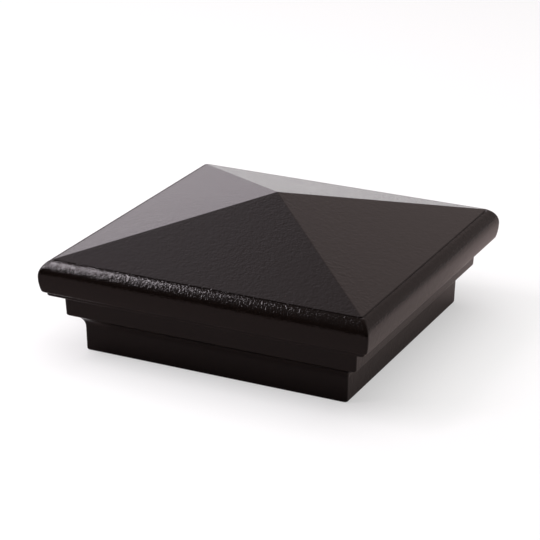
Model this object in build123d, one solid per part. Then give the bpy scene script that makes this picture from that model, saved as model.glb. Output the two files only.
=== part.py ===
# Square post cap: a low pyramid on a rolled edge, stepped in below to a skirt that slips over a post.
# One casting. Millimetres, +Z up. The origin is at the centre of the rim, the plane the skirt ends on.
import math
import os

from build123d import *

# Plan sizes
SOCKET_W = 92.0          # clear width for the post, at the rim
SKIRT_WALL = 2.9         # skirt thickness at the rim
OVERHANG = 11.7          # widest line of the roll, out from the rim's outer face
FASCIA_OUT = 4.9         # foot of the fascia, out from the rim's outer face
BAND_IN = 2.2            # band under the roll, in from the widest line
OVOLO_IN = 0.9           # foot of the roll's lower curve, in from the widest line
ROLL_IN = 3.4            # sunk line above the roll, in from the widest line
QUIRK_W = 0.7            # width of the sunk line round the pyramid

# Heights
SKIRT_H = 8.6            # straight skirt, rim to cove
FASCIA_H = 8.0           # upright fascia
BAND_H = 1.5             # band between fascia and roll
OVOLO_H = 5.8            # lower curve of the roll, foot to widest line
ROLL_H = 5.5             # upper curve of the roll, widest line to sunk line
PYRAMID_H = 15.5         # sunk line to point
QUIRK_D = 0.3            # depth of the sunk line

# Section, tapers and edges
TOP_WALL = 3.2           # thickness of the sloped top, square to the slope
COVE_TURN = 76.0         # degrees the hollow curve turns through under the fascia
SKIRT_DRAFT = 1.2        # degrees, skirt widening upward
FASCIA_DRAFT = 2.4       # degrees, fascia widening upward
SOCKET_DRAFT = 0.8       # degrees, socket narrowing upward
EDGE_R = 0.55            # rounding of the level edges
SOCKET_CORNER_R = 2.0    # rounding of the socket's upright corners

# Widths from the centre line to each face
half_socket = SOCKET_W / 2
half_rim = half_socket + SKIRT_WALL
half_skirt = half_rim + SKIRT_H * math.tan(math.radians(SKIRT_DRAFT))
half_fascia = half_rim + FASCIA_OUT
half_wide = half_rim + OVERHANG
half_band = half_wide - BAND_IN
half_ovolo = half_wide - OVOLO_IN
half_sunk = half_wide - ROLL_IN
corner_r = 1.5 * EDGE_R

# Cove: an arc that leaves the skirt in line with it and ends where the fascia's foot rounding begins
cove_reach = half_fascia - 1.1 * EDGE_R - half_skirt
turn = math.radians(COVE_TURN)
start = math.radians(SKIRT_DRAFT)
cove_r = cove_reach / (math.cos(start) - math.cos(start + turn))
cove_h = cove_r * (math.sin(start + turn) - math.sin(start))

# Levels above the rim
z_cove = SKIRT_H
z_fascia = z_cove + cove_h
z_band = z_fascia + FASCIA_H
z_ovolo = z_band + BAND_H
z_wide = z_ovolo + OVOLO_H
z_sunk = z_wide + ROLL_H
z_point = z_sunk + PYRAMID_H
slope = PYRAMID_H / half_sunk
lap = BAND_H + OVOLO_H / 2
half_head = half_fascia + (FASCIA_H + lap) * math.tan(math.radians(FASCIA_DRAFT))


def mitred(outline):
    """Runs a half section both ways across the cap; the overlap is square in plan with mitred corners."""
    half = make_face(outline)
    section = half + mirror(half, Plane.YZ)
    run = extrude(Plane.XZ * section, amount=2 * half_wide, both=True)
    return run & run.rotate(Axis.Z, 90)


def eased(solid, radius):
    """Rounds the four mitres, from the level the solid starts at to the level it ends at."""
    edges = [e for e in solid.edges() if abs((e @ 0).Z - (e @ 1).Z) > 1e-4]
    return fillet(edges, radius)


def eased_foot(solid, level, radius):
    """Rounds the edge that runs round the solid at one level."""
    edges = [e for e in solid.edges() if max(abs((e @ t).Z - level) for t in (0, 0.5, 1)) < 1e-4]
    return fillet(edges, radius)


# Skirt and cove, rim upward
foot = (half_rim, 0)
top_of_skirt = (half_skirt, z_cove)
mid = start + turn / 2
cove_mid = (
    half_skirt + cove_r * (math.cos(start) - math.cos(mid)),
    z_cove + cove_r * (math.sin(mid) - math.sin(start)),
)
top_of_cove = (half_skirt + cove_reach, z_fascia)
skirt_line = Line((0, 0), foot) + Line(foot, top_of_skirt)
skirt_line += ThreePointArc(top_of_skirt, cove_mid, top_of_cove)
skirt_line += Polyline(top_of_cove, (0, z_fascia), (0, 0))
skirt = eased_foot(eased(mitred(skirt_line), corner_r), 0, EDGE_R)

# Fascia, run up into the roll
fascia_line = Polyline(
    (0, z_fascia),
    (half_fascia, z_fascia),
    (half_head, z_band + lap),
    (0, z_band + lap),
    (0, z_fascia),
)
fascia = eased_foot(eased(mitred(fascia_line), corner_r), z_fascia, EDGE_R)

# Band, run up into the roll
band_line = Polyline(
    (0, z_band),
    (half_band, z_band),
    (half_band, z_band + lap),
    (0, z_band + lap),
    (0, z_band),
)
band = eased_foot(eased(mitred(band_line), corner_r), z_band, EDGE_R)

# Roll: two arcs, both upright at the widest line, one down to the foot and one up to the sunk line
ovolo_r = (OVOLO_H**2 + OVOLO_IN**2) / (2 * OVOLO_IN)
ovolo_mid = (half_wide - ovolo_r + math.sqrt(ovolo_r**2 - (OVOLO_H / 2) ** 2), z_wide - OVOLO_H / 2)
roll_r = (ROLL_H**2 + ROLL_IN**2) / (2 * ROLL_IN)
roll_mid = (half_wide - roll_r + math.sqrt(roll_r**2 - (ROLL_H / 2) ** 2), z_wide + ROLL_H / 2)
roll_line = Line((0, z_ovolo), (half_ovolo, z_ovolo))
roll_line += ThreePointArc((half_ovolo, z_ovolo), ovolo_mid, (half_wide, z_wide))
roll_line += ThreePointArc((half_wide, z_wide), roll_mid, (half_sunk, z_sunk))
roll_line += Polyline((half_sunk, z_sunk), (0, z_sunk), (0, z_ovolo))
roll = eased_foot(eased(mitred(roll_line), corner_r), z_ovolo, EDGE_R)

# Pyramid, its base let into the roll
pyramid_line = Polyline(
    (0, z_wide),
    (half_sunk, z_wide),
    (half_sunk, z_sunk),
    (0, z_point),
    (0, z_wide),
)
pyramid = mitred(pyramid_line)

# Sunk line where the pyramid meets the roll
sunk_w = 2 * half_sunk
groove = Box(sunk_w, sunk_w, QUIRK_D + PYRAMID_H, align=(Align.CENTER, Align.CENTER, Align.MIN))
groove -= Box(
    sunk_w - 2 * QUIRK_W,
    sunk_w - 2 * QUIRK_W,
    QUIRK_D + PYRAMID_H,
    align=(Align.CENTER, Align.CENTER, Align.MIN),
)
groove = Pos(0, 0, z_sunk - QUIRK_D) * groove

# Socket: drafted walls under a ceiling that keeps the top at an even thickness
inner_point = z_point - TOP_WALL / math.cos(math.atan(slope))
socket_box = extrude(Rectangle(SOCKET_W, SOCKET_W), amount=z_point, taper=SOCKET_DRAFT)
socket_box = eased(socket_box, SOCKET_CORNER_R)
ceiling_half = inner_point / slope
ceiling_line = Polyline((0, 0), (ceiling_half, 0), (0, inner_point), (0, 0))
socket = socket_box & mitred(ceiling_line)

post_cap = skirt + fascia + band + roll + pyramid - groove - socket

os.makedirs("parts", exist_ok=True)
export_step(post_cap, "parts/post_cap.step")
box = post_cap.bounding_box()
print("post_cap", round(box.size.X, 2), round(box.size.Y, 2), round(box.size.Z, 2), "mm")
print("volume", round(post_cap.volume / 1000, 1), "cm3, solids", len(post_cap.solids()))
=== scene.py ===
# %% [markdown]
# # A cast post cap, dressed for its portrait
# The object is a square cap for the top of a timber post: a low pyramid on a rolled edge, stepped in
# below to a skirt that slips over the post. It is one casting under a dark bronze powder coat.
# The CAD model fixes its size. This lesson loads that model as the frame, rebuilds the casting as a
# clean mesh that catches light well on its edges, gives it its coat, and then lights and frames it.

# %% Load the frame
import math

import bmesh
import bpy
from mathutils import Matrix, Quaternion, Vector


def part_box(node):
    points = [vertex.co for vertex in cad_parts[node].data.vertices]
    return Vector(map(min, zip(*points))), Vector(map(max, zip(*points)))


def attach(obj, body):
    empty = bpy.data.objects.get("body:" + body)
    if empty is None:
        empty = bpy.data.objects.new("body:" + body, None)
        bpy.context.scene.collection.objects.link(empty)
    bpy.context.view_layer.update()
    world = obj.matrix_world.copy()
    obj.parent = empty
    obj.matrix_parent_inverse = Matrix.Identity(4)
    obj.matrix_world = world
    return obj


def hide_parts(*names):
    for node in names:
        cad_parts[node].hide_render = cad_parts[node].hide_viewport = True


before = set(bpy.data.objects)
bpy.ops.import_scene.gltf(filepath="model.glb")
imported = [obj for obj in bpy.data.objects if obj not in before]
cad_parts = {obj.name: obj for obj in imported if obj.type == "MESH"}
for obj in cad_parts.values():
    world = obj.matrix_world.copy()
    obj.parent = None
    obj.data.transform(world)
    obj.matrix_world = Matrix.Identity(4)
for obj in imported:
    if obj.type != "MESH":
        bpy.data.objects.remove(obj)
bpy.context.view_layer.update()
cap_low, cap_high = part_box("post_cap")
scene = bpy.context.scene
scene.view_settings.view_transform = "Standard"
print("post_cap spans", [round(v * 1000, 1) for v in cap_high - cap_low], "mm")

# %% [markdown]
# ## Sizes of the section
# Cut the cap through the middle of two opposite sides and every moulding shows in one outline.
# That outline is all the mesh needs. The overall width and height come from the frame, and the
# mouldings are named here in millimetres, each one measured from the rim, the axis or the widest line.
# The sunk line round the pyramid is a slanted groove, a little shallower than in the CAD model,
# because the melted coat pools in it.

# %% Sizes of the section
MM = 0.001
half_wide = cap_high.x
z_point = cap_high.z

OVERHANG = 11.7 * MM
SKIRT_WALL = 2.9 * MM
FASCIA_OUT = 4.9 * MM
BAND_IN = 2.2 * MM
OVOLO_IN = 0.9 * MM
ROLL_IN = 3.4 * MM
QUIRK_W = 0.7 * MM
QUIRK_D = 0.22 * MM
QUIRK_SLANT = 0.17 * MM
SKIRT_H = 8.6 * MM
FASCIA_H = 8.0 * MM
BAND_H = 1.5 * MM
PYRAMID_H = 15.5 * MM
ROLL_H = 5.5 * MM
OVOLO_H = 5.8 * MM
TOP_WALL = 3.2 * MM
EDGE_R = 0.55 * MM
COVE_SETBACK = 1.1 * EDGE_R
CORNER_R = 1.5 * EDGE_R
HIP_R = 0.3 * MM
SOCKET_CORNER_R = 2.0 * MM
SKIRT_DRAFT = math.radians(1.2)
FASCIA_DRAFT = math.radians(2.4)
SOCKET_DRAFT = math.radians(0.8)
COVE_TURN = math.radians(76.0)

half_rim = half_wide - OVERHANG
half_socket = half_rim - SKIRT_WALL
half_skirt = half_rim + SKIRT_H * math.tan(SKIRT_DRAFT)
half_fascia = half_rim + FASCIA_OUT
half_head = half_fascia + FASCIA_H * math.tan(FASCIA_DRAFT)
half_band = half_wide - BAND_IN
half_sunk = half_wide - ROLL_IN
z_sunk = z_point - PYRAMID_H
z_wide = z_sunk - ROLL_H
z_ovolo = z_wide - OVOLO_H
z_band = z_ovolo - BAND_H
z_fascia = z_band - FASCIA_H
z_cove = SKIRT_H
slope = PYRAMID_H / half_sunk
print("widest line at", round(z_wide * 1000, 2), "mm, sunk line at", round(z_sunk * 1000, 2), "mm")

# %% [markdown]
# ## The section as a wire
# A turner would cut this outline as a template. Here a bmesh starts from one vertex at the point of
# the pyramid, and each stroke extrudes the last vertex: a straight stroke moves the copy, and a curved
# stroke spins it about the centre of its arc. Typing a list of points would also work, but strokes keep
# every curve a true arc that meets its neighbours where the mouldings do.


# %% Strokes that draw the section
def straight(bm, pen, x, z):
    """Extrudes the pen to a new place in the section and returns the new pen."""
    made = bmesh.ops.extrude_vert_indiv(bm, verts=[pen])
    pen = made["verts"][0]
    pen.co = (x, 0.0, z)
    return pen


def curved(bm, pen, centre_x, centre_z, angle, steps):
    """Spins the pen about a centre in the section; a positive angle turns from +Z towards +X."""
    made = bmesh.ops.spin(
        bm, geom=[pen], cent=(centre_x, 0.0, centre_z), axis=(0.0, 1.0, 0.0), angle=angle, steps=steps
    )
    return [g for g in made["geom_last"] if isinstance(g, bmesh.types.BMVert)][0]


roll_r = (ROLL_H**2 + ROLL_IN**2) / (2 * ROLL_IN)
ovolo_r = (OVOLO_H**2 + OVOLO_IN**2) / (2 * OVOLO_IN)
roll_turn = math.asin(ROLL_H / roll_r)
ovolo_turn = math.asin(OVOLO_H / ovolo_r)
cove_reach = half_fascia - COVE_SETBACK - half_skirt
cove_r = cove_reach / (math.cos(SKIRT_DRAFT) - math.cos(SKIRT_DRAFT + COVE_TURN))
cove_centre = (half_skirt + cove_r * math.cos(SKIRT_DRAFT), z_cove - cove_r * math.sin(SKIRT_DRAFT))
print("roll radius", round(roll_r * 1000, 2), "mm, cove radius", round(cove_r * 1000, 2), "mm")

# %% [markdown]
# ## Drawing the outside and the socket
# The wire runs down the outside from the point to the rim, round the rim, and up the inside to the
# ceiling of the socket. The ceiling follows the pyramid so that the top keeps an even thickness.

# %% Draw the section
ROLL_STEPS = 16
OVOLO_STEPS = 8
COVE_STEPS = 12
casting = bmesh.new()
pen = casting.verts.new((0.0, 0.0, z_point))
pen = straight(casting, pen, half_sunk - QUIRK_W, z_sunk + QUIRK_W * slope)
pyramid_foot_z = pen.co.z
pen = straight(casting, pen, half_sunk - QUIRK_W + QUIRK_SLANT, z_sunk - QUIRK_D)
pen = straight(casting, pen, half_sunk, z_sunk)
pen = curved(casting, pen, half_wide - roll_r, z_wide, roll_turn, ROLL_STEPS)
pen = curved(casting, pen, half_wide - ovolo_r, z_wide, ovolo_turn, OVOLO_STEPS)
ovolo_foot = pen
pen = straight(casting, pen, half_band, z_ovolo)
pen = straight(casting, pen, half_band, z_band)
band_foot = pen
pen = straight(casting, pen, half_head, z_band)
pen = straight(casting, pen, half_fascia, z_fascia)
fascia_foot = pen
pen = straight(casting, pen, half_skirt + cove_reach, z_fascia)
pen = curved(casting, pen, *cove_centre, -COVE_TURN, COVE_STEPS)
pen = straight(casting, pen, half_rim, 0.0)
rim_edge = pen
pen = straight(casting, pen, half_socket, 0.0)
inner_point = z_point - TOP_WALL * math.sqrt(1 + slope**2)
socket_top_x = (half_socket - inner_point * math.tan(SOCKET_DRAFT)) / (1 - slope * math.tan(SOCKET_DRAFT))
socket_top_z = inner_point - slope * socket_top_x
pen = straight(casting, pen, socket_top_x, socket_top_z)
pen = straight(casting, pen, 0.0, inner_point)
print("section drawn with", len(casting.verts), "points")

# %% [markdown]
# ## Easing the level edges
# A casting has no knife edges: metal flows round them and the coat thickens over them. Rounding the
# corners of the wire now is easier than bevelling long edges later, because one rounded corner of the
# section becomes a rounded edge on all four sides.

# %% Ease the level edges
EDGE_SEGMENTS = 5
bmesh.ops.bevel(
    casting,
    geom=[ovolo_foot, band_foot, fascia_foot, rim_edge],
    offset=EDGE_R,
    offset_type="OFFSET",
    affect="VERTICES",
    segments=EDGE_SEGMENTS,
    profile=0.5,
    material=-1,
)
print("section eased, now", len(casting.verts), "points")

# %% [markdown]
# ## From the section to a square casting
# A lathe would spin the section through many small steps and give a round cap. Spun in four steps it
# gives a square one, if the section first moves to a corner: stretched by the diagonal of a square and
# turned by an eighth of a turn. The points on the axis then meet and are merged into single poles.

# %% Spin the section in four steps
SIDES = 4
QUARTER = math.pi / 2
MERGE_GAP = 0.001 * MM
bmesh.ops.scale(casting, vec=(math.sqrt(2), 1.0, 1.0), verts=casting.verts)
bmesh.ops.rotate(casting, matrix=Matrix.Rotation(QUARTER / 2, 3, "Z"), verts=casting.verts)
bmesh.ops.spin(
    casting,
    geom=casting.verts[:] + casting.edges[:],
    cent=(0.0, 0.0, 0.0),
    axis=(0.0, 0.0, 1.0),
    angle=SIDES * QUARTER,
    steps=SIDES,
    use_merge=True,
)
bmesh.ops.remove_doubles(casting, verts=casting.verts, dist=MERGE_GAP)
bmesh.ops.recalc_face_normals(casting, faces=casting.faces)
print("square casting:", len(casting.faces), "faces")

# %% [markdown]
# ## Finding the mitres
# Where two runs of moulding meet at a corner, the real casting has a soft upright edge that catches a
# thin light. The edges to round are the ones that lie on a diagonal, and small tests tell them apart:
# the hips of the pyramid, the corners inside the socket, and the corners of the mouldings.

# %% Tests that find the mitres
NEAR = 0.01 * MM


def on_a_mitre(edge):
    """True for an edge that stays on one diagonal of the square; a level edge runs from one to the next."""
    start, end = (v.co for v in edge.verts)
    on_diagonal = abs(abs(start.x) - abs(start.y)) < NEAR
    run = end - start
    return on_diagonal and abs(abs(run.x) - abs(run.y)) < NEAR


def is_hip(edge):
    """True for a mitre of the outer pyramid."""
    return min(v.co.z for v in edge.verts) > pyramid_foot_z - NEAR


def in_socket(edge):
    """True for an upright corner inside the socket."""
    reach = max(abs(v.co.x) for v in edge.verts)
    low, high = sorted(v.co.z for v in edge.verts)
    return reach < half_socket + NEAR and high - low > socket_top_z / 2 and low < MM


def outer_mitre(edge):
    """True for a corner of the roll, band, fascia, cove or skirt."""
    reach = min(abs(v.co.x) for v in edge.verts)
    return reach > half_socket + NEAR and not is_hip(edge)


print(sum(on_a_mitre(e) for e in casting.edges), "edges lie on a mitre")

# %% [markdown]
# ## Rounding the mitres
# Bevel swaps each of these edges for a narrow strip of faces on a curve. The hips are crisper than the
# corners of the mouldings, and the socket's corners are wider, so each kind gets its own offset.

# %% Round the mitres
CORNER_SEGMENTS = 6
HIP_SEGMENTS = 3


def round_edges(chosen, offset, segments):
    """Bevels the mitre edges that the test picks."""
    edges = [e for e in casting.edges if on_a_mitre(e) and chosen(e)]
    bmesh.ops.bevel(
        casting,
        geom=edges,
        offset=offset,
        offset_type="OFFSET",
        affect="EDGES",
        segments=segments,
        profile=0.5,
        material=-1,
        clamp_overlap=False,
    )
    print(len(edges), "mitre edges rounded by", round(offset * 1000, 2), "mm")


round_edges(in_socket, SOCKET_CORNER_R, CORNER_SEGMENTS)
round_edges(outer_mitre, CORNER_R, CORNER_SEGMENTS)
round_edges(is_hip, HIP_R, HIP_SEGMENTS)

# %% [markdown]
# ## The finished piece
# Smooth shading alone would bend the light across the big flat faces near each rounding. The Weighted
# Normal modifier lets the large faces decide, so flats stay flat and only the roundings curve. Edges
# that turn sharply, such as those of the sunk line, are marked so that they stay crisp.

# %% Make the piece
CRISP_ANGLE = math.radians(40.0)
for face in casting.faces:
    face.smooth = True
for edge in casting.edges:
    edge.smooth = edge.is_manifold and edge.calc_face_angle() < CRISP_ANGLE
casting_mesh = bpy.data.meshes.new("cap_casting")
casting.to_mesh(casting_mesh)
casting.free()
cap = bpy.data.objects.new("cap_casting", casting_mesh)
scene.collection.objects.link(cap)
flats = cap.modifiers.new("flats_stay_flat", "WEIGHTED_NORMAL")
flats.keep_sharp = True
flats.weight = 50
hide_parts("post_cap")
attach(cap, "root")
print("cap_casting has", len(casting_mesh.polygons), "faces")

# %% [markdown]
# ## The skin of a powder coat
# Powder is sprayed on dry and melted in an oven. It never levels out like wet paint, and sets to a fine
# leathery skin. One noise with no finer detail gives round pebbles of a single size, which glint one by
# one, where a noise with many octaves would only look dull. The coat needs this skin at two sizes, so
# it is a node group with its scale as an input.


# %% Build the skin as a node group
def leathery_skin():
    """A group that turns Object coordinates into the height of a pebbled skin."""
    group = bpy.data.node_groups.new("leathery_skin", "ShaderNodeTree")
    group.interface.new_socket("Vector", in_out="INPUT", socket_type="NodeSocketVector")
    group.interface.new_socket("Scale", in_out="INPUT", socket_type="NodeSocketFloat")
    group.interface.new_socket("Height", in_out="OUTPUT", socket_type="NodeSocketFloat")
    nodes, links = group.nodes, group.links
    given = nodes.new("NodeGroupInput")
    result = nodes.new("NodeGroupOutput")
    pebbles = nodes.new("ShaderNodeTexNoise")
    pebbles.inputs["Detail"].default_value = 0.0
    pebbles.inputs["Distortion"].default_value = 0.8
    links.new(given.outputs["Vector"], pebbles.inputs["Vector"])
    links.new(given.outputs["Scale"], pebbles.inputs["Scale"])
    links.new(pebbles.outputs["Fac"], result.inputs["Height"])
    return group


skin = leathery_skin()
print("node group", skin.name, "with", len(skin.nodes), "nodes")

# %% [markdown]
# ## The relief of the coat
# Fine pebbles, about half a millimetre across, break the bright line on the rolled edge into specks.
# Swells about twice as wide give the slopes their leathery look. Mixed half and half they make the
# height of a Bump node, which tilts the light and leaves the mesh as it is: real relief this fine would
# need millions of faces.

# %% Build the relief
PEBBLE_SCALE = 1700.0
SWELL_SCALE = 750.0
SWELL_SHARE = 0.5
RELIEF = 0.1 * MM
coat = bpy.data.materials.new("dark_bronze_powder_coat")
coat.use_nodes = True
nodes, links = coat.node_tree.nodes, coat.node_tree.links
shader = nodes["Principled BSDF"]
place = nodes.new("ShaderNodeTexCoord")
pebbled = nodes.new("ShaderNodeGroup")
pebbled.node_tree = skin
pebbled.inputs["Scale"].default_value = PEBBLE_SCALE
broad = nodes.new("ShaderNodeGroup")
broad.node_tree = skin
broad.inputs["Scale"].default_value = SWELL_SCALE
height = nodes.new("ShaderNodeMix")
height.data_type = "FLOAT"
height.inputs["Factor"].default_value = SWELL_SHARE
bump = nodes.new("ShaderNodeBump")
bump.inputs["Strength"].default_value = 1.0
bump.inputs["Distance"].default_value = RELIEF
links.new(place.outputs["Object"], pebbled.inputs["Vector"])
links.new(place.outputs["Object"], broad.inputs["Vector"])
links.new(pebbled.outputs["Height"], height.inputs["A"])
links.new(broad.outputs["Height"], height.inputs["B"])
links.new(height.outputs["Result"], bump.inputs["Height"])
links.new(bump.outputs["Normal"], shader.inputs["Normal"])
print("relief up to", round(RELIEF * 1000, 2), "mm")

# %% [markdown]
# ## Dark bronze colour and gloss
# The coat is a very dark warm brown, almost black where nothing bright is mirrored in it. It isn't bare
# metal, so Metallic stays at zero and the gloss comes from the coat's own reflection. A broad slow noise
# shifts the tone and the gloss a little, because a sprayed coat is never quite even.

# %% Build the colour and gloss
COAT_IOR = 1.42
DARK_TONE = (0.0034, 0.0018, 0.0012, 1.0)
LIGHT_TONE = (0.0046, 0.0025, 0.0017, 1.0)
GLOSSIEST = 0.15
DULLEST = 0.19
DRIFT_SCALE = 30.0
shader.inputs["IOR"].default_value = COAT_IOR
drift = nodes.new("ShaderNodeTexNoise")
drift.inputs["Scale"].default_value = DRIFT_SCALE
drift.inputs["Detail"].default_value = 3.0
tone = nodes.new("ShaderNodeMix")
tone.data_type = "RGBA"
tone.inputs["A"].default_value = DARK_TONE
tone.inputs["B"].default_value = LIGHT_TONE
gloss = nodes.new("ShaderNodeMapRange")
gloss.inputs["To Min"].default_value = GLOSSIEST
gloss.inputs["To Max"].default_value = DULLEST
links.new(place.outputs["Object"], drift.inputs["Vector"])
links.new(drift.outputs["Fac"], tone.inputs["Factor"])
links.new(tone.outputs["Result"], shader.inputs["Base Color"])
links.new(drift.outputs["Fac"], gloss.inputs["Value"])
links.new(gloss.outputs["Result"], shader.inputs["Roughness"])
casting_mesh.materials.append(coat)
print("material", coat.name, "with", len(nodes), "nodes")

# %% [markdown]
# ## Floor
# The cap stands on its rim on a plain white table, a flat grid wide enough to run out of the picture.

# %% Lay the floor
FLOOR_HALF = 3.0
ground = bmesh.new()
bmesh.ops.create_grid(ground, x_segments=8, y_segments=8, size=FLOOR_HALF)
floor_mesh = bpy.data.meshes.new("floor")
ground.to_mesh(floor_mesh)
ground.free()
floor = bpy.data.objects.new("floor", floor_mesh)
scene.collection.objects.link(floor)
print("floor", 2 * FLOOR_HALF, "m square")

# %% [markdown]
# ## White of the table
# The table is lit like everything else, so the shadow stays on it. For the camera, half of what it shows
# is plain white, as an overexposed studio sweep looks, so that it runs into the background without a
# line. In reflections the white share is smaller, which keeps the sides of the cap deep.

# %% Paint the table
TABLE_PAINT = (0.9, 0.9, 0.9, 1.0)
TABLE_ROUGHNESS = 0.9
WHITE_SHARE = 0.5
GLOSS_SHARE = 0.15
table = bpy.data.materials.new("white_table")
table.use_nodes = True
nodes, links = table.node_tree.nodes, table.node_tree.links
paint = nodes["Principled BSDF"]
paint.inputs["Base Color"].default_value = TABLE_PAINT
paint.inputs["Roughness"].default_value = TABLE_ROUGHNESS
white = nodes.new("ShaderNodeEmission")
blend = nodes.new("ShaderNodeMixShader")
rays = nodes.new("ShaderNodeLightPath")
seen = nodes.new("ShaderNodeMath")
seen.operation = "MAXIMUM"
glossy = nodes.new("ShaderNodeMath")
glossy.operation = "MULTIPLY"
glossy.inputs[1].default_value = GLOSS_SHARE
share = nodes.new("ShaderNodeMath")
share.operation = "MULTIPLY_ADD"
share.inputs[1].default_value = WHITE_SHARE
links.new(rays.outputs["Is Camera Ray"], seen.inputs[0])
links.new(rays.outputs["Is Transmission Ray"], seen.inputs[1])
links.new(rays.outputs["Is Glossy Ray"], glossy.inputs[0])
links.new(seen.outputs["Value"], share.inputs[0])
links.new(glossy.outputs["Value"], share.inputs[2])
links.new(share.outputs["Value"], blend.inputs["Fac"])
links.new(paint.outputs["BSDF"], blend.inputs[1])
links.new(white.outputs["Emission"], blend.inputs[2])
links.new(blend.outputs["Shader"], nodes["Material Output"].inputs["Surface"])
floor_mesh.materials.append(table)
print("material", table.name, "with", len(nodes), "nodes")

# %% [markdown]
# ## Cards of painted shade beside the cap
# Photographers lay cards beside a glossy object, just out of sight, to choose what its near sides mirror.
# These two cards are painted shade and painted light that show only in reflections. A dark warm grey card
# lies on the table in front of the cap and reaches past its near corner. It is a painted shadow on the
# table, so the front mirrors shade up to the edge, and it glows faintly. A paler one lies at its right,
# partly in the cap's shadow, as painted shade there, and its painted glow keeps the foot of the skirt from
# going black.
# Cards show only in reflections: they are hidden from the camera and from diffuse light, and they cast no
# shadow.

# %% Lay the cards
CARD_LIFT = 0.02 * MM


def lay_painted_shade_card(name, low, high, colour, painted_glow):
    """A flat card of painted shade and painted glow on the table between two corners, unseen by the camera.
    """
    sheet = bmesh.new()
    bmesh.ops.create_grid(sheet, x_segments=4, y_segments=4, size=0.5)
    size = Vector(high) - Vector(low)
    middle = (Vector(high) + Vector(low)) / 2
    bmesh.ops.scale(sheet, vec=(*size, 1.0), verts=sheet.verts)
    bmesh.ops.translate(sheet, vec=(*middle, CARD_LIFT), verts=sheet.verts)
    mesh = bpy.data.meshes.new(name)
    sheet.to_mesh(mesh)
    sheet.free()
    card = bpy.data.objects.new(name, mesh)
    card.visible_camera = False
    card.visible_shadow = False
    card.visible_diffuse = False
    scene.collection.objects.link(card)
    painted_shade_paper = bpy.data.materials.new(name)
    painted_shade_paper.use_nodes = True
    shader = painted_shade_paper.node_tree.nodes["Principled BSDF"]
    # The card's colour is painted shade, seen only in reflections.
    shader.inputs["Base Color"].default_value = (*colour, 1.0)
    shader.inputs["Roughness"].default_value = 1.0
    # Its emission is a painted glow: the card lights reflections though it is no lamp.
    shader.inputs["Emission Color"].default_value = (*colour, 1.0)
    shader.inputs["Emission Strength"].default_value = painted_glow
    mesh.materials.append(painted_shade_paper)
    print(name, [round(v, 3) for v in size], "m")


CARD_LEFT = -0.80
CARD_RIGHT = 0.60
CARD_FRONT = -2.0
CARD_BACK = 0.80
# Dark painted shade for the front card, seen only in reflections.
FRONT_PAINTED_SHADE = (0.23, 0.185, 0.18)
# Paler painted shade for the side card, seen only in reflections.
SIDE_PAINTED_SHADE = (0.43, 0.36, 0.345)
# Painted shadow of the table in front of the cap, with a faint painted glow.
lay_painted_shade_card("front_painted_shade_card", (CARD_LEFT, CARD_FRONT), (CARD_RIGHT, -half_rim), FRONT_PAINTED_SHADE, painted_glow=0.1)
# Painted shade where the cap's shadow falls at the right, lifted by a painted glow.
lay_painted_shade_card("side_painted_shade_card", (half_rim, -half_rim), (CARD_RIGHT, CARD_BACK), SIDE_PAINTED_SHADE, painted_glow=0.24)

# %% [markdown]
# ## Nodes for a room
# The cap mirrors a room that is only a sky of light, made from the direction of each ray. Two small
# helpers add its nodes. A ramp eases between two levels as one part of the direction, such as its height,
# goes from one value to another. The other helper joins two values by their product or their maximum.

# %% Helpers for the room
world = bpy.data.worlds.new("studio_room")
scene.world = world
world.use_nodes = True


def ramp(value, low, high, at_low, at_high):
    """A node that eases from one level to another as a value goes from low to high."""
    node = world.node_tree.nodes.new("ShaderNodeMapRange")
    node.interpolation_type = "SMOOTHSTEP"
    for name, number in zip(
        ("From Min", "From Max", "To Min", "To Max"), (low, high, at_low, at_high)
    ):
        node.inputs[name].default_value = number
    world.node_tree.links.new(value, node.inputs["Value"])
    return node.outputs["Result"]


def joined(kind, first, second):
    """A maths node of one kind that takes two values."""
    node = world.node_tree.nodes.new("ShaderNodeMath")
    node.operation = kind
    world.node_tree.links.new(first, node.inputs[0])
    world.node_tree.links.new(second, node.inputs[1])
    return node.outputs["Value"]


print("world", world.name, "ready")

# %% [markdown]
# ## Brightness of the room
# There is a white backdrop behind the cap. It is brightest to the left and fades to the right and
# upwards, and the rest of the room is dark under a dim ceiling. That is why the far slopes look silver
# and the near sides almost black. Each fade below is four numbers: where it starts and ends, and its
# level at either end. The camera doesn't see the room but plain white.

# %% Set the brightness
BACKDROP = (-0.2, 0.5, 0.0, 1.0)
LEFT_FADE = (-0.5, -0.3, 1.0, 0.57)
RIGHT_FADE = (0.0, 0.3, 1.0, 0.64)
TOP_FADE = (0.3, 0.9, 1.0, 0.53)
CEILING = (0.0, 0.9, 0.02, 0.09)
nodes, links = world.node_tree.nodes, world.node_tree.links
looking = nodes.new("ShaderNodeTexCoord")
ray = nodes.new("ShaderNodeSeparateXYZ")
links.new(looking.outputs["Generated"], ray.inputs["Vector"])
behind = ramp(ray.outputs["Y"], *BACKDROP)
leftward = ramp(ray.outputs["X"], *LEFT_FADE)
rightward = ramp(ray.outputs["X"], *RIGHT_FADE)
upward = ramp(ray.outputs["Z"], *TOP_FADE)
sideways = joined("MULTIPLY", leftward, rightward)
mirrored = joined("MULTIPLY", joined("MULTIPLY", behind, sideways), upward)
ceiling = ramp(ray.outputs["Z"], *CEILING)
room = joined("MAXIMUM", mirrored, ceiling)
rays = nodes.new("ShaderNodeLightPath")
seen = joined("MAXIMUM", rays.outputs["Is Camera Ray"], rays.outputs["Is Transmission Ray"])
level = joined("MAXIMUM", room, seen)
links.new(level, nodes["Background"].inputs["Strength"])
print("room brightness built with", len(nodes), "nodes")

# %% [markdown]
# ## Tint of the room
# The light isn't quite neutral: the far left has a faint rose cast, and the rest is a little warmer.
# What the camera sees as background stays pure white, so the tint gives way to white there.

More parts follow.
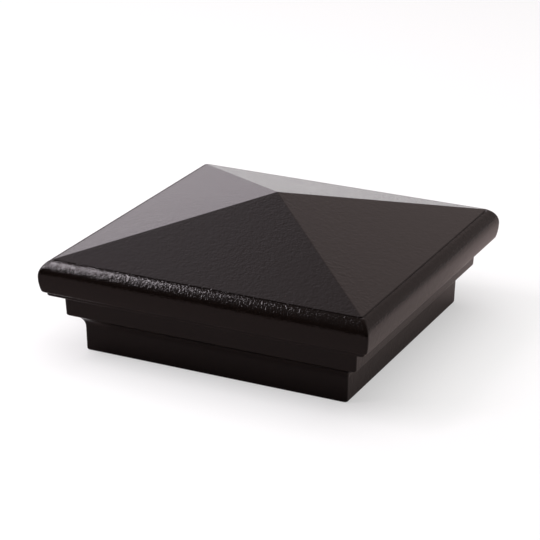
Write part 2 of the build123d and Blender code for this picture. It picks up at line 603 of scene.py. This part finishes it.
# %% Set the tint
ROSE_CAST = (1.0, 0.9, 0.975, 1.0)
WARM_CAST = (1.0, 0.83, 0.81, 1.0)
PURE_WHITE = (1.0, 1.0, 1.0, 1.0)
ROSE_TO_WARM = (-0.5, -0.1, 0.0, 1.0)
cast = nodes.new("ShaderNodeMix")
cast.data_type = "RGBA"
cast.inputs["A"].default_value = ROSE_CAST
cast.inputs["B"].default_value = WARM_CAST
links.new(ramp(ray.outputs["X"], *ROSE_TO_WARM), cast.inputs["Factor"])
tint = nodes.new("ShaderNodeMix")
tint.data_type = "RGBA"
tint.inputs["B"].default_value = PURE_WHITE
links.new(cast.outputs["Result"], tint.inputs["A"])
links.new(seen, tint.inputs["Factor"])
links.new(tint.outputs["Result"], nodes["Background"].inputs["Color"])
print("studio room built with", len(nodes), "nodes")

# %% [markdown]
# ## Soft boxes
# Three soft boxes light the table and the cap. A narrow strip hangs over the left front and draws the
# broken bright line along the rolled edge, which ends where the strip ends. A large one overhead lights
# the table and isn't mirrored, because it would lay a second band along the whole rolled edge. The third
# stands low at the left, so the shadow falls away to the right.


# %% Hang the soft boxes
def soft_box(name, direction, distance, wide, tall, turn, power, colour, mirrored=True):
    """An area lamp that looks at the middle of the cap from a direction, turned about its own axis."""
    lamp = bpy.data.lights.new(name, "AREA")
    lamp.shape = "RECTANGLE"
    lamp.size = wide
    lamp.size_y = tall
    lamp.energy = power
    lamp.color = colour
    box = bpy.data.objects.new(name, lamp)
    toward = Vector(direction).normalized()
    box.location = toward * distance
    aim = toward.to_track_quat("Z", "Y") @ Quaternion((0.0, 0.0, 1.0), math.radians(turn))
    box.rotation_euler = aim.to_euler()
    box.visible_glossy = mirrored
    scene.collection.objects.link(box)
    print(name, wide, "by", tall, "m,", power, "W")


WHITE_LIGHT = (1.0, 1.0, 1.0)
ROSE_LIGHT = (1.0, 0.92, 0.98)
soft_box(
    "strip_box",
    direction=(-0.589, -0.348, 0.729),
    distance=0.9,
    wide=0.63,
    tall=0.10,
    turn=-49.5,
    power=3.9,
    colour=ROSE_LIGHT,
)
soft_box(
    "table_box",
    direction=(0.0, 0.0, 1.0),
    distance=1.2,
    wide=1.5,
    tall=1.5,
    turn=0.0,
    power=15.5,
    colour=WHITE_LIGHT,
    mirrored=False,
)
soft_box(
    "low_left_box",
    direction=(-0.93, 0.20, 0.32),
    distance=1.3,
    wide=1.0,
    tall=0.6,
    turn=0.0,
    power=3.0,
    colour=WHITE_LIGHT,
)

# %% [markdown]
# ## Camera
# The photograph looks down a little over a corner, from fairly far off, so its edges nearly stay
# parallel. The place, the tilt and the lens were found by matching the cap's corners, and the frame is
# square. The camera's matrix is built from the three directions it needs: right, up and back.

# %% Place the camera
PICTURE = 540.0
FOCUS_PX = 2091.0
SENSOR = 36.0
AZIMUTH = math.radians(25.509)
ELEVATION = math.radians(21.386)
ROLL = math.radians(0.472)
EYE = Vector((0.2921, -0.6174, 0.28835))
back = Vector(
    (
        math.sin(AZIMUTH) * math.cos(ELEVATION),
        -math.cos(AZIMUTH) * math.cos(ELEVATION),
        math.sin(ELEVATION),
    )
)
right = Vector((math.cos(AZIMUTH), math.sin(AZIMUTH), 0.0))
tilt = Matrix.Rotation(ROLL, 3, back)
right = tilt @ right
up = back.cross(right)
lens = bpy.data.cameras.new("camera")
lens.sensor_width = SENSOR
lens.lens = SENSOR * FOCUS_PX / PICTURE
lens.clip_start = 0.01
camera = bpy.data.objects.new("camera", lens)
turned = Matrix((right, up, back)).transposed().to_4x4()
camera.matrix_world = Matrix.Translation(EYE) @ turned
scene.collection.objects.link(camera)
scene.camera = camera
print("camera lens", round(lens.lens, 1), "mm")
